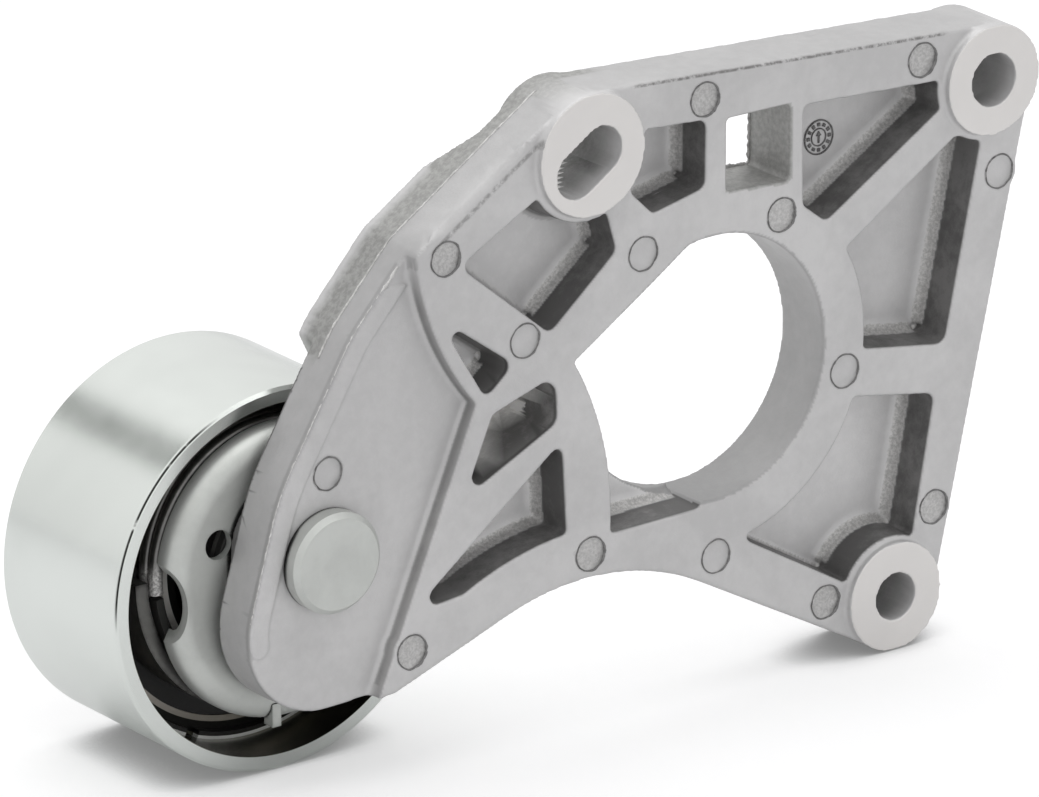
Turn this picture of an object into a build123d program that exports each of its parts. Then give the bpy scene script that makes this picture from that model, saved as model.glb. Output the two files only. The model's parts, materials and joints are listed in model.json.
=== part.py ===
from build123d import *
from math import asin, atan2, cos, degrees, hypot, pi, radians, sin
import os

# Timing belt tensioner: a die-cast bracket with a sprung eccentric tensioner and its steel pulley.
# X runs across the mounting face, Z up and Y away from the engine. The origin is the lower bolt hole.

# Running and seating clearances
seat_gap = 0.02
running_gap = 0.05
open_gap = 0.4

# Mounting holes and bosses of the bracket, with places as (x, z)
lower_hole_at = (0.0, 0.0)
lower_hole_d = 8.6
upper_hole_at = (20.5, 91.0)
upper_hole_d = 9.6
boss_d = 20.0
slot_boss_at = (-66.4, 94.7)
slot_boss_d = 22.0
slot_at = (-67.15, 93.6)
slot_width = 8.6
slot_travel = 6.1
slot_tilt = 33.7
boss_stand = 1.5
boss_back = 1.2

# Depths of the casting
plate_depth = 12.0
web = 3.7
parting = 8.5
draft = 1.5
pocket_draft = 2.5

# Pump hole through the middle of the bracket
pump_hole_at = (-39.3, 50.3)
pump_hole_r = 24.0
pump_ring = 9.0

# Outline of the casting: corner rounds (x, z) and radii
knee_at = (-100.0, 82.0)
knee_r = 3.0
elbow_at = (-97.8, 59.0)
elbow_r = 20.0
flank_at = (-92.1, 29.6)
flank_r = 40.0
arm_end_at = (-119.6, 21.0)
arm_end_r = 15.9
foot_at = (-107.6, 7.9)
foot_r = 2.1
arch_top_at = (-66.0, 17.6)
arch_r = 50.0
arch_rib = 9.5

# Lowered face of the arm, its curved rib and its edge bead
arm_step = 3.0
rib_curve_at = (-48.7, 89.8)
rib_curve_r = 54.2
bead_width = 3.8
bead_height = 0.5
bead_end_at = (-133.4, 19.6)
recess_rounds = [
    (-88.9, 57.6, 0.2), (-101.2, 88.0, 0.2), (-145.0, 88.0, 0.2), (-145.0, 0.0, 0.2), (-113.1, 0.0, 0.2),
]
bead_zone = [(-145.0, 19.6, 0.1), (-114.0, 19.6, 0.1), (-100.0, 78.0, 0.1), (-145.0, 78.0, 0.1)]

# Outlines of the lightening pockets between the ribs, as (x, z, radius) rounds
pocket_top_left = [
    (-90.5, 79.6, 1.5), (-74.3, 66.4, 1.8), (-62.3, 76.6, 1.8), (-64.5, 87.0, 1.0), (-76.2, 87.4, 1.5),
]
pocket_by_slot = [
    (-52.0, 82.6, 1.4), (-42.9, 84.8, 1.6), (-42.7, 94.2, 1.5), (-56.0, 95.3, 1.2), (-56.0, 86.0, 1.0),
]
pocket_upper_right = [(-18.6, 76.6, 1.4), (-14.8, 73.9, 1.6), (12.0, 90.7, 1.8), (-18.9, 92.8, 1.2)]
pocket_right = [
    (-9.0, 49.3, 2.0), (10.0, 46.1, 1.8), (17.0, 79.2, 1.8), (13.4, 80.6, 1.0), (-12.0, 64.0, 1.0),
]
pocket_lower_right = [
    (-30.2, 18.0, 1.6), (-9.7, 5.4, 1.1), (3.6, 9.0, 1.0), (7.3, 33.8, 1.8), (-12.0, 38.0, 1.0),
]
pocket_small = [(-93.7, 67.2, 1.2), (-87.4, 57.6, 1.6), (-85.0, 60.0, 1.9)]
pocket_lower_left = [(-98.0, 21.9, 1.6), (-71.6, 24.0, 1.0), (-73.0, 41.3, 1.4)]
boss_wall = 1.2
low_boss_wall = 0.8
curved_rib_r = 57.9
hole_corner_rounds = [
    (-63.5, 25.8, 1.0), (-43.0, 26.5, 1.2), (-43.0, 60.0, 1.0), (-50.0, 68.9, 1.0), (-69.5, 56.3, 1.0),
]

# Chord that closes the pump hole on the left, the square window, and the deep pocket in its lug behind the plate
hole_chord = [(-64.0, 20.0, 0.1), (-10.0, 20.0, 0.1), (-10.0, 90.0, 0.1), (-20.0, 90.0, 0.1), (-69.0, 57.4, 0.1)]
square_window = [(-36.1, 82.4, 0.6), (-23.6, 81.6, 0.6), (-23.6, 94.2, 0.6), (-36.1, 94.3, 0.6)]
deep_pocket = [(-85.0, 50.4, 1.9), (-89.0, 41.6, 1.7), (-75.1, 49.0, 2.3), (-75.6, 52.7, 2.6)]
deep_pocket_wall = 1.9
deep_pocket_floor = 1.5

# Ejector pin marks, and where they stand
ejector_d = 6.0
ejector_lug_d = 7.8
ejector_sink = 0.25
ejector_places = [
    (-103.6, 12.9), (-65.7, 22.2), (-54.6, 74.3), (-10.7, 43.7), (-38.6, 15.7), (-14.5, 1.8), (9.4, 14.2),
    (23.1, 73.4), (5.7, 97.2), (-41.5, 99.4), (-24.8, 75.2), (-96.3, 82.0), (-79.7, 63.9),
]
arm_ejector_at = (-118.8, 47.6)

# Stiffening wall behind the upper left edge
rear_wall_depth = 4.4
wall_inset = 0.15
rear_wall_rounds = [
    (-68.0, 91.0, 2.0), (-68.0, 104.0, 0.5), (-106.0, 96.0, 0.5), (-115.0, 72.0, 2.0), (-111.5, 63.5, 1.5),
    (-105.0, 62.5, 1.5), (-95.5, 75.5, -2.0), (-90.5, 81.0, -2.0),
]
rear_wall_slope = (-79.5, -90.0)

# Tensioner: pin in the arm, fixed eccentric hub round it, swinging arm round the hub, pulley round the arm
pin_at = (-119.2, 32.5)
hub_offset = (0.1, -4.0)
throw = (0.6, -4.04)
pin_d = 9.0
pin_head_d = 18.0
pin_head = 3.75
pin_crown = 0.9
arm_wall = 1.645
bush_wall = 1.2
neck_wall = 3.25
pivot_boss_r = 12.5
pivot_boss = 1.7

# Spring plate, a stamped cup with a notch, a pin hole and a pointer
sheet = 1.5
plate_room = 7.2
plate_skirt = 4.8
plate_edge_r = 3.6
plate_hole_d = 5.3
plate_hole_reach = 16.26
plate_hole_angle = 156.4
notch_r = 12.0
notch_depth = 3.0
notch_angle = 187.0
spring_tab_from = 187.0
spring_tab_root = 205.0
spring_tab_to = 213.0
pointer_width = 1.8
pointer_length = 4.2
pointer_out = 0.5
pointer_aside = 3.8

# Torsion spring
wire_d = 2.5
spring_inset = 1.0
spring_pitch = 2.75
spring_turns = 2.0
spring_start = 185.5
guide_wall = 1.6
guide_rim = 2.6

# Swinging arm
collar_wall = 2.45
collar_from = 180.0
collar_to = 335.0
flange = 1.3
flange_room = 3.0
friction_washer = 1.4

# Deep groove ball bearing 35 x 62 x 14
bearing_bore = 35.0
bearing_od = 62.0
bearing_width = 14.0
ball_inset = 2.64625
inner_wall_share = 0.304
outer_wall_share = 0.296
ball_spacing = 1.59
cage_share = 0.22
cage_rim = 0.6
pocket_gap = 0.12
seal_sheet = 1.0
seal_inset = 0.5

# Pulley
pulley_wall = 3.46
pulley_width = 33.8
pulley_front_wall = 2.76
pulley_chamfer = 0.6
seat_lip = 2.6
seat_lip_depth = 2.0
clip_sheet = 1.5
clip_groove = 1.2
clip_width = 1.4
clip_gap_angle = 248.0
clip_gap = 5.0

# Rear end of the tensioner
end_washer = 2.0
end_washer_lap = 0.5
peen_d = 12.5
peen = 1.8
shaft_clip_sheet = 1.3
shaft_clip_width = 2.0
shaft_clip_groove = 0.8


# Planes across the depth, worked out from the mounting face
rib_face = boss_stand
back_face = rib_face + plate_depth
pocket_floor = back_face - web
arm_face = rib_face + arm_step
wall_back = back_face + rear_wall_depth
pivot_face = back_face + pivot_boss
hub_front = pivot_face + sheet
neck_front = hub_front + friction_washer + 2 * running_gap
skirt_back = pivot_face + plate_skirt
coil_front = skirt_back + wire_d / 2 + 0.25
coil_back = coil_front + spring_pitch * spring_turns
flange_front = coil_back + wire_d / 2 + 0.3
bearing_front = flange_front + flange + 0.6
bearing_back = bearing_front + bearing_width
pulley_front = wall_back + 0.66
pulley_back = pulley_front + pulley_width
clip_front = bearing_front - clip_sheet - seat_gap
arm_back = bearing_back + shaft_clip_sheet + 1.2
hub_back = arm_back + friction_washer + 2 * running_gap
pin_back = hub_back + end_washer + peen

# Middle of the arch under the pump hole
arch_at = (arch_top_at[0], arch_top_at[1] - arch_r)

# Axes of the tensioner
hub_at = (pin_at[0] + hub_offset[0], pin_at[1] + hub_offset[1])
pulley_at = (hub_at[0] + throw[0], hub_at[1] + throw[1])

# Sizes of the bearing, worked out from its bore and its outside
bearing_section = (bearing_od - bearing_bore) / 2
bearing_r = (bearing_bore + bearing_od) / 4
ball_d = bearing_width - 2 * ball_inset
ball_count = round(2 * pi * bearing_r / (ball_spacing * ball_d))
inner_race_r = bearing_bore / 2 + inner_wall_share * bearing_section
outer_race_r = bearing_od / 2 - outer_wall_share * bearing_section
cage_wall = cage_share * (outer_race_r - inner_race_r)

# Radii worked out from the bearing's outside inwards to the spring
pulley_r = bearing_od / 2 + pulley_wall
pulley_bore_r = pulley_r - pulley_front_wall
clip_r = bearing_od / 2 + clip_groove - open_gap
plate_r = pulley_bore_r - plate_room
notch_reach = plate_r + notch_r - notch_depth
spring_r = plate_r - spring_inset
collar_r = spring_r + wire_d / 2 + open_gap
guide_r = spring_r - wire_d / 2 - open_gap

# Radii worked out from the bearing's bore inwards to the hub
hub_r = bearing_bore / 2 - seat_gap - hypot(*throw) - arm_wall - bush_wall - running_gap
bush_r = hub_r + running_gap + bush_wall
neck_r = bush_r + neck_wall

turn_up = Rot(90, 0, 0)


def slab(face, near, far, slope=0.0):
    """Solid between two depths, narrowing towards the near one by the slope's degrees."""
    return turn_up * (Pos(0, 0, -far) * extrude(face, far - near, taper=slope))


def sunk(face, near, far, slope=0.0):
    """Solid between two depths, narrowing towards the far one by the slope's degrees."""
    return turn_up * (Pos(0, 0, -near) * mirror(extrude(face, far - near, taper=slope), about=Plane.XY))


def disc(at, radius):
    """Round face at a place."""
    return Pos(at[0], at[1], 0) * Circle(radius)


def rod(at, radius, near, far):
    """Round bar along Y."""
    return slab(disc(at, radius), near, far)


def tube(at, inner, outer, near, far):
    """Round tube along Y."""
    return slab(disc(at, outer) - disc(at, inner), near, far)


def polar(at, radius, angle):
    """Place at a radius and an angle in degrees round another place."""
    return (at[0] + radius * cos(radians(angle)), at[1] + radius * sin(radians(angle)))


def loop(*rounds):
    """Face inside a taut line round (x, z, radius) rounds; a negative radius is passed on its far side."""
    runs = []
    for here, after in zip(rounds, rounds[1:] + rounds[:1]):
        span = Vector(after[0] - here[0], after[1] - here[1])
        side = degrees(atan2(span.Y, span.X) + asin((here[2] - after[2]) / span.length)) - 90.0
        runs.append((side, polar(here, here[2], side), polar(after, after[2], side)))
    edges = []
    for index, (side, leave, reach) in enumerate(runs):
        corner = rounds[(index + 1) % len(rounds)]
        next_side, onward, _ = runs[(index + 1) % len(rounds)]
        turn = (next_side - side) % 360.0 if corner[2] > 0 else -((side - next_side) % 360.0)
        edges.append(Line(leave, reach))
        edges.append(ThreePointArc(reach, polar(corner, corner[2], side + turn / 2), onward))
    return make_face(edges)


def sector(at, radius, start, end):
    """Pie slice face from one angle to another, in degrees."""
    first = polar(at, radius, start)
    middle = polar(at, radius, (start + end) / 2)
    last = polar(at, radius, end)
    return make_face([Line(at, first), ThreePointArc(first, middle, last), Line(last, at)])


def revolved(at, points):
    """Turned piece from a half section of (radius, depth) points, round an axis along Y."""
    section = make_face(Polyline(*[(radius, -depth) for radius, depth in points], close=True))
    around = revolve(Plane.XZ * section, Axis.Z)
    return Pos(at[0], 0, at[1]) * (turn_up * around)


def bracket_outline():
    """Outer line of the casting, taken round its bosses and corners."""
    return loop(
        (*lower_hole_at, boss_d / 2),
        (*upper_hole_at, boss_d / 2),
        (*slot_boss_at, slot_boss_d / 2),
        (*knee_at, knee_r),
        (*elbow_at, elbow_r),
        (*flank_at, flank_r),
        (*arm_end_at, arm_end_r),
        (*foot_at, foot_r),
        (*arch_at, -arch_r),
    )


def bracket_pockets():
    """Faces of the lightening pockets between the ribs."""
    ring = disc(pump_hole_at, pump_hole_r + pump_ring)
    by_lower = disc(lower_hole_at, boss_d / 2 + low_boss_wall)
    by_upper = disc(upper_hole_at, boss_d / 2 + boss_wall)
    by_slot = disc(slot_boss_at, slot_boss_d / 2 + boss_wall)
    by_arch = disc(arch_at, arch_r + arch_rib)
    return [
        loop(*pocket_top_left) - by_slot,
        loop(*pocket_by_slot) - by_slot,
        loop(*pocket_upper_right) - by_upper,
        loop(*pocket_right) - ring - by_upper,
        loop(*pocket_lower_right) - ring - by_lower,
        loop(*pocket_small),
        loop(*pocket_lower_left) - by_arch,
        loop(*hole_corner_rounds) - disc(hub_at, curved_rib_r),
    ]


def bracket_windows():
    """Faces of the openings that go right through the web."""
    return disc(pump_hole_at, pump_hole_r) & loop(*hole_chord), loop(*square_window)


def arm_recess():
    """Area of the arm that lies lower than the ribs, left of the curved rib."""
    return loop(*recess_rounds) - disc(rib_curve_at, rib_curve_r)


def arm_bead():
    """Low bead along the arm's edge, with a round lower end."""
    outline = bracket_outline()
    band = (outline - offset(outline, -bead_width)) & loop(*bead_zone) & arm_recess()
    return slab(band, arm_face - bead_height, arm_face + 0.1) + rod(
        bead_end_at, bead_width / 2, arm_face - bead_height, arm_face + 0.1)


def rear_wall():
    """Stiffening wall behind the upper left edge, sloping down towards the slotted boss."""
    strip = offset(bracket_outline(), -wall_inset) & loop(*rear_wall_rounds)
    wall = slab(strip, rib_face + parting, wall_back)
    low, high = rear_wall_slope
    end = slot_boss_at[0] + slot_boss_d / 2
    above = Polyline((end, back_face - 0.5), (low, back_face - 0.5), (high, wall_back + 0.5),
                     (end, wall_back + 0.5), close=True)
    return wall - Pos(0, 0, slot_at[1] / 2) * extrude(make_face(above), slot_at[1])


def bracket_body():
    """Ribbed plate with its drafted sides, bosses and lugs."""
    outline = bracket_outline()
    split = rib_face + parting
    body = slab(outline, rib_face, split, draft) + sunk(outline, split, back_face, draft)
    body -= slab(arm_recess(), rib_face - 1.0, arm_face)
    body += arm_bead()
    for at in ejector_places:
        body += rod(at, ejector_lug_d / 2, rib_face, back_face)
    body += rear_wall()
    body += slab(offset(loop(*deep_pocket), deep_pocket_wall), pocket_floor, wall_back)
    return body + slab(loop((*pin_at, pivot_boss_r), (*hub_at, pivot_boss_r)), back_face, pivot_face)


def bracket():
    """Die-cast aluminium bracket."""
    body = bracket_body()
    for face in bracket_pockets():
        body -= sunk(face, rib_face - 0.01, pocket_floor, pocket_draft)
    for face in bracket_windows():
        body -= slab(face, 0.0, wall_back)
    body -= sunk(loop(*deep_pocket), rib_face - 0.01, wall_back - deep_pocket_floor, draft)
    for at, size in ((lower_hole_at, boss_d), (upper_hole_at, boss_d), (slot_boss_at, slot_boss_d)):
        body += rod(at, size / 2, 0.0, back_face + boss_back)
    for at, size in ((lower_hole_at, lower_hole_d), (upper_hole_at, upper_hole_d)):
        body -= rod(at, size / 2, -1.0, wall_back)
    slot = Pos(*slot_at, 0) * Rot(0, 0, slot_tilt) * SlotCenterToCenter(slot_travel, slot_width)
    body -= slab(slot, -1.0, wall_back)
    for at in ejector_places:
        body -= rod(at, ejector_d / 2, 0.0, rib_face + ejector_sink)
    body -= rod(arm_ejector_at, ejector_d / 2, 0.0, arm_face + ejector_sink)
    return body - rod(pin_at, pin_d / 2 + seat_gap, 0.0, wall_back)


def pivot_pin():
    """Riveted steel pin whose broad head shows on the arm."""
    head_r = pin_head_d / 2
    shank = pin_d / 2
    return revolved(pin_at, [
        (0, arm_face - pin_head), (head_r - pin_crown, arm_face - pin_head),
        (head_r, arm_face - pin_head + pin_crown),
        (head_r, arm_face), (shank, arm_face), (shank, pin_back - peen), (peen_d / 2, pin_back - peen),
        (peen_d / 2, pin_back - peen / 2), (peen_d / 2 - peen, pin_back), (0, pin_back),
    ])


def hub():
    """Fixed eccentric sleeve clamped by the pin."""
    return rod(hub_at, hub_r, hub_front, hub_back) - rod(pin_at, pin_d / 2 + seat_gap, hub_front, hub_back)


def friction_ring(near):
    """Friction washer round the hub."""
    near += running_gap
    return tube(hub_at, hub_r + running_gap, neck_r - 0.8, near, near + friction_washer)


def end_plate():
    """Steel washer under the peened end of the pin."""
    hole = rod(pin_at, pin_d / 2 + seat_gap, hub_back, pin_back)
    return rod(hub_at, neck_r + end_washer_lap, hub_back, hub_back + end_washer) - hole


def pivot_bush():
    """Plastic liner pressed into the swinging arm."""
    return tube(hub_at, hub_r + running_gap, bush_r - seat_gap, neck_front + 0.3, arm_back - 0.3)


def plate_form(radius):
    """Outline of the spring plate, round the hub and drawn down towards the pulley's axis."""
    return loop((*hub_at, radius), (*pulley_at, radius))


def spring_plate():
    """Stamped plate that anchors the spring, with its notch, pin hole, bent tab and pointer."""
    shell = slab(plate_form(plate_r), pivot_face, skirt_back)
    front = shell.faces().sort_by(Axis.Y)[0]
    shell = fillet(front.edges(), plate_edge_r)
    core = slab(plate_form(plate_r - sheet), hub_front, skirt_back + 1.0)
    inner = core.faces().sort_by(Axis.Y)[0]
    shell -= fillet(inner.edges(), plate_edge_r - sheet)
    shell -= rod(polar(hub_at, notch_reach, notch_angle), notch_r, pivot_face - 1.0, skirt_back + 1.0)
    hole = polar(hub_at, plate_hole_reach, plate_hole_angle)
    shell -= rod(hole, plate_hole_d / 2, pivot_face - 1.0, hub_front + 1.0)
    shell -= rod(pin_at, pin_d / 2 + seat_gap, pivot_face - 1.0, hub_front + 1.0)
    return shell + spring_tab() + pointer()


def spring_tab():
    """Tongue behind the skirt, reaching into the notch, against which the spring's front end rests."""
    arc = disc(hub_at, plate_r) - disc(hub_at, plate_r - sheet)
    back = coil_front + spring_pitch - wire_d / 2 - 0.6
    tongue = slab(arc & sector(hub_at, 2 * plate_r, spring_tab_from, spring_tab_to), skirt_back + 0.1, back)
    root = sector(hub_at, 2 * plate_r, spring_tab_root, spring_tab_to)
    return tongue + slab(arc & root, skirt_back - 1.0, back)


def pointer():
    """Small pointer folded forward at the plate's lower edge."""
    base = pulley_at[1] - plate_r - pointer_out
    depth = sheet + 1.0
    at = Pos(pulley_at[0] - pointer_aside, pivot_face - 0.2 + depth / 2, base + pointer_length / 2)
    return at * Box(pointer_width, depth, pointer_length)


def spring_guide():
    """Drum inside the spring, open towards the plate."""
    back = flange_front - seat_gap
    front = coil_front + 0.7
    channel = max(guide_r - guide_rim, neck_r + guide_wall + 0.2)
    return revolved(hub_at, [
        (neck_r + seat_gap, front), (neck_r + guide_wall, front), (neck_r + guide_wall, back - guide_wall),
        (channel, back - guide_wall), (channel, front), (guide_r, front), (guide_r, back),
        (neck_r + seat_gap, back),
    ])


def torsion_spring():
    """Coiled wire spring round the drum, from the plate's tab back to the lug on the arm."""
    path = Helix(pitch=spring_pitch, height=spring_pitch * spring_turns, radius=spring_r)
    wire = sweep(Plane(origin=path @ 0, z_dir=path % 0) * Circle(wire_d / 2), path=path)
    back_angle = spring_start - 360.0 * spring_turns
    return turn_up * (Pos(*hub_at, -coil_back) * Rot(0, 0, back_angle) * wire)


def spring_lug():
    """Lug on the arm's flange that the spring's back end pushes."""
    back_angle = spring_start - 360.0 * spring_turns
    arc = sector(hub_at, collar_r, back_angle - 9.0, back_angle - 1.5) - disc(hub_at, spring_r - wire_d / 2)
    return slab(arc, coil_back - wire_d / 2, flange_front + 0.1)


def tensioner_arm():
    """Cast eccentric: bore round the hub, journal for the bearing and a collar round the spring."""
    journal_r = bearing_bore / 2 - seat_gap
    body = rod(pulley_at, journal_r, flange_front, arm_back)
    body += rod(pulley_at, inner_race_r - 1.2, flange_front, bearing_front - seat_gap)
    body += rod(hub_at, neck_r, neck_front, flange_front + 0.5)
    trim = disc(pulley_at, clip_r - clip_width - flange_room)
    lower = sector(hub_at, collar_r + collar_wall, collar_from, collar_to)
    disc_face = (disc(hub_at, collar_r + collar_wall) & trim) + lower
    body += slab(disc_face, flange_front, flange_front + flange)
    body += slab(lower - disc(hub_at, collar_r), coil_front, flange_front + 0.5) + spring_lug()
    body -= rod(hub_at, bush_r, neck_front - 1.0, arm_back + 1.0)
    groove = tube(pulley_at, journal_r - shaft_clip_groove, journal_r + 1.0, bearing_back + seat_gap,
                  bearing_back + seat_gap + shaft_clip_sheet + 0.1)
    return body - groove


def pulley_clip():
    """Flat retaining ring that holds the bearing in the pulley."""
    ring = disc(pulley_at, clip_r) - disc(pulley_at, clip_r - clip_width)
    gap = sector(pulley_at, 2 * clip_r, clip_gap_angle - clip_gap / 2, clip_gap_angle + clip_gap / 2)
    return slab(ring - gap, clip_front, clip_front + clip_sheet)


def shaft_clip():
    """Eared retaining ring that holds the bearing on the arm."""
    inner = bearing_bore / 2 - seat_gap - shaft_clip_groove + 0.1
    outer = inner + shaft_clip_width
    ring = disc(pulley_at, outer) - disc(pulley_at, inner) - sector(pulley_at, 2 * outer, 86.0, 94.0)
    for angle in (82.0, 98.0):
        ear = polar(pulley_at, outer + 0.6, angle)
        ring = ring + disc(ear, 1.7) - disc(ear, 0.7)
    near = bearing_back + 2 * seat_gap
    return slab(ring, near, near + shaft_clip_sheet)


def race_groove():
    """Ring-shaped hollow that the balls run in."""
    middle = (bearing_front + bearing_back) / 2
    return Pos(pulley_at[0], middle, pulley_at[1]) * (turn_up * Torus(bearing_r, ball_d / 2 + running_gap))


def seal_recess(radius):
    """Shallow steps at both ends of a ring, where the seals sit."""
    deep = seal_inset + seal_sheet
    front = rod(pulley_at, radius, bearing_front - 1.0, bearing_front + deep)
    return front + rod(pulley_at, radius, bearing_back - deep, bearing_back + 1.0)


def inner_ring():
    """Inner ring of the bearing."""
    return tube(pulley_at, bearing_bore / 2, inner_race_r, bearing_front, bearing_back) - race_groove()


def outer_ring():
    """Outer ring of the bearing, stepped for its seals."""
    ring = tube(pulley_at, outer_race_r, bearing_od / 2 - seat_gap, bearing_front, bearing_back)
    return ring - race_groove() - seal_recess(outer_race_r + 0.9)


def ball_turns():
    """Angles of the balls round the bearing."""
    return [360.0 * (index + 0.5) / ball_count for index in range(ball_count)]


def bearing_balls():
    """All the balls as separate solids."""
    middle = (bearing_front + bearing_back) / 2
    places = [polar(pulley_at, bearing_r, angle) for angle in ball_turns()]
    return Compound(children=[Pos(x, middle, z) * Sphere(ball_d / 2) for x, z in places])


def ball_cage():
    """Cage with a round pocket for each ball."""
    middle = (bearing_front + bearing_back) / 2
    half = ball_d / 2 + cage_rim
    cage = tube(pulley_at, bearing_r - cage_wall / 2, bearing_r + cage_wall / 2, middle - half, middle + half)
    pocket = Pos(bearing_r, 0, 0) * Rot(0, 90, 0) * Cylinder(ball_d / 2 + pocket_gap, 4 * cage_wall)
    for angle in ball_turns():
        cage -= Pos(pulley_at[0], middle, pulley_at[1]) * Rot(0, -angle, 0) * pocket
    return cage


def seal(near):
    """Rubber-faced seal between the bearing's rings."""
    return tube(pulley_at, inner_race_r + 0.3, outer_race_r + 0.9 - seat_gap, near, near + seal_sheet)


def pulley():
    """Turned steel pulley with a bearing seat and a retaining ring groove."""
    seat = bearing_od / 2
    front_r = pulley_bore_r
    rim = pulley_r - pulley_chamfer
    groove_front = clip_front - 0.1
    return revolved(pulley_at, [
        (front_r, pulley_front), (rim, pulley_front), (pulley_r, pulley_front + pulley_chamfer),
        (pulley_r, pulley_back - pulley_chamfer), (rim, pulley_back), (front_r, pulley_back),
        (front_r, bearing_back + seat_lip), (seat - seat_lip_depth, bearing_back + seat_lip),
        (seat - seat_lip_depth, bearing_back), (seat, bearing_back), (seat, bearing_front),
        (seat + clip_groove, bearing_front), (seat + clip_groove, groove_front), (front_r, groove_front),
    ])


def write(name, solid):
    """Write one sub-part to its file."""
    export_step(solid, os.path.join("parts", name + ".step"))


os.makedirs("parts", exist_ok=True)
write("bracket", bracket())
write("pivot_pin", pivot_pin())
write("eccentric_hub", hub())
write("front_friction_washer", friction_ring(hub_front))
write("rear_friction_washer", friction_ring(arm_back))
write("end_washer", end_plate())
write("pivot_bush", pivot_bush())
write("spring_plate", spring_plate())
write("spring_guide", spring_guide())
write("torsion_spring", torsion_spring())
write("tensioner_arm", tensioner_arm())
write("arm_retaining_ring", shaft_clip())
write("bearing_inner_ring", inner_ring())
write("bearing_outer_ring", outer_ring())
write("bearing_balls", bearing_balls())
write("ball_cage", ball_cage())
write("front_seal", seal(bearing_front + seal_inset))
write("rear_seal", seal(bearing_back - seal_inset - seal_sheet))
write("pulley", pulley())
write("pulley_retaining_ring", pulley_clip())
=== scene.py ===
import json
import math

import bmesh
import bpy
from bpy.props import FloatProperty, FloatVectorProperty, IntProperty, PointerProperty
from mathutils import Matrix, Vector, noise
from mathutils.bvhtree import BVHTree
from mathutils.kdtree import KDTree

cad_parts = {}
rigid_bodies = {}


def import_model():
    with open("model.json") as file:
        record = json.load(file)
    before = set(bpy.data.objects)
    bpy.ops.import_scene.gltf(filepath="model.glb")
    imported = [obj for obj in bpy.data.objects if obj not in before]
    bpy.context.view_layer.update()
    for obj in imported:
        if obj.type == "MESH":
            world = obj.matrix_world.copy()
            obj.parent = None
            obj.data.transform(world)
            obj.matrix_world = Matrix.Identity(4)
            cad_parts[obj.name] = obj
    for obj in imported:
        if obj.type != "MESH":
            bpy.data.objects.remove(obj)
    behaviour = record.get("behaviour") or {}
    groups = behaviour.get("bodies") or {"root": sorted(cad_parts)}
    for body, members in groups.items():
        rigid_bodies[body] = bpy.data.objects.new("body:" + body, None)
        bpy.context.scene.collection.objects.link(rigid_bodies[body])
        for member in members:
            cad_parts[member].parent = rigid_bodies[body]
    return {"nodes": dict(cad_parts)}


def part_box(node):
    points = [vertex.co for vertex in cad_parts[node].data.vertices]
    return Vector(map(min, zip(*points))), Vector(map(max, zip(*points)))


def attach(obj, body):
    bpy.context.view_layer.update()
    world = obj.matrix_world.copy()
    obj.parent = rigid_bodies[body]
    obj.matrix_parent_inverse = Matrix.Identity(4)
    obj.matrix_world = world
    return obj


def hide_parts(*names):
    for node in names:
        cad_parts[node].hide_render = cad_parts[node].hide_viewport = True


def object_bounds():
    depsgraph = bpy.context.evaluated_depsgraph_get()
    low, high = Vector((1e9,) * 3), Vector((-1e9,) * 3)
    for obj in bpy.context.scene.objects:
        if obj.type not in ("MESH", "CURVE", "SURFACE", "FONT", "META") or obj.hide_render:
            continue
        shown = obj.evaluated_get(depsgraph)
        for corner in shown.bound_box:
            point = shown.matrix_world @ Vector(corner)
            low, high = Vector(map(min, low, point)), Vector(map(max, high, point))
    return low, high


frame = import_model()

bl_info = {
    "name": "Belt Tensioner Dresser",
    "version": (1, 0, 0),
    "blender": (4, 5, 0),
    "location": "View3D > Sidebar > Tensioner",
    "description": "Dresses the belt tensioner's frame with its skin, finishes, floor, lights and camera",
    "category": "Object",
}

MM = 0.001
CAD_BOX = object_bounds()


def node_centre(name):
    """Middle of a node's box, in metres."""
    low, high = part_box(name)
    return (low + high) / 2


PULLEY_AXIS = node_centre("pulley")
HUB_AXIS = node_centre("eccentric_hub")

# Depths of the casting's faces in metres, then places on it as (x, z, radius) or (x, z) in millimetres
RIB_FACE = 0.0015
PARTING = 0.010
POCKET_FLOOR = 0.0098
BACK_FACE = 0.0135
PUMP_HOLE = (-39.3, 50.3, 24.0)
BOSSES = [(0.0, 0.0, 10.0), (20.5, 91.0, 10.0), (-66.4, 94.7, 11.0)]
OUTLINE = BOSSES + [
    (-100.0, 82.0, 3.0), (-97.8, 59.0, 20.0), (-92.1, 29.6, 40.0), (-119.6, 21.0, 15.9), (-107.6, 7.9, 2.1),
    (-66.0, -32.4, -50.0),
]
SQUARE_WINDOW = [(-36.1, 82.4, 0.6), (-23.6, 81.6, 0.6), (-23.6, 94.2, 0.6), (-36.1, 94.3, 0.6)]
DATE_DIAL = (-10.5, 84.2)
EJECTOR_PLACES = [
    (-103.6, 12.9), (-65.7, 22.2), (-54.6, 74.3), (-10.7, 43.7), (-38.6, 15.7), (-14.5, 1.8), (9.4, 14.2),
    (23.1, 73.4), (5.7, 97.2), (-41.5, 99.4), (-24.8, 75.2), (-96.3, 82.0), (-79.7, 63.9),
]
ROUGH_EJECTORS = (0, 1, 5, 6, 8, 9, 10, 11)
ARM_EJECTOR = (-118.8, 47.6)
DEEP_POCKET = [(-87.8, 54.0), (-92.5, 39.6), (-72.5, 45.6), (-72.0, 57.0)]
SMALL_POCKET = [(-96.0, 70.5), (-89.0, 53.5), (-81.5, 60.5)]
UPPER_LEFT_SEAM = ((-71.3, 102.1), (-100.5, 82.75))
TOP_SEAM = ((12.0, 100.9), (-58.0, 104.7))
REAR_LUGS = (-60.0, 66.0)
SLOT_END = (-69.69, 91.91, 4.3)
SPRING_END = (185.5, 23.5, 21.5)
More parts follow.
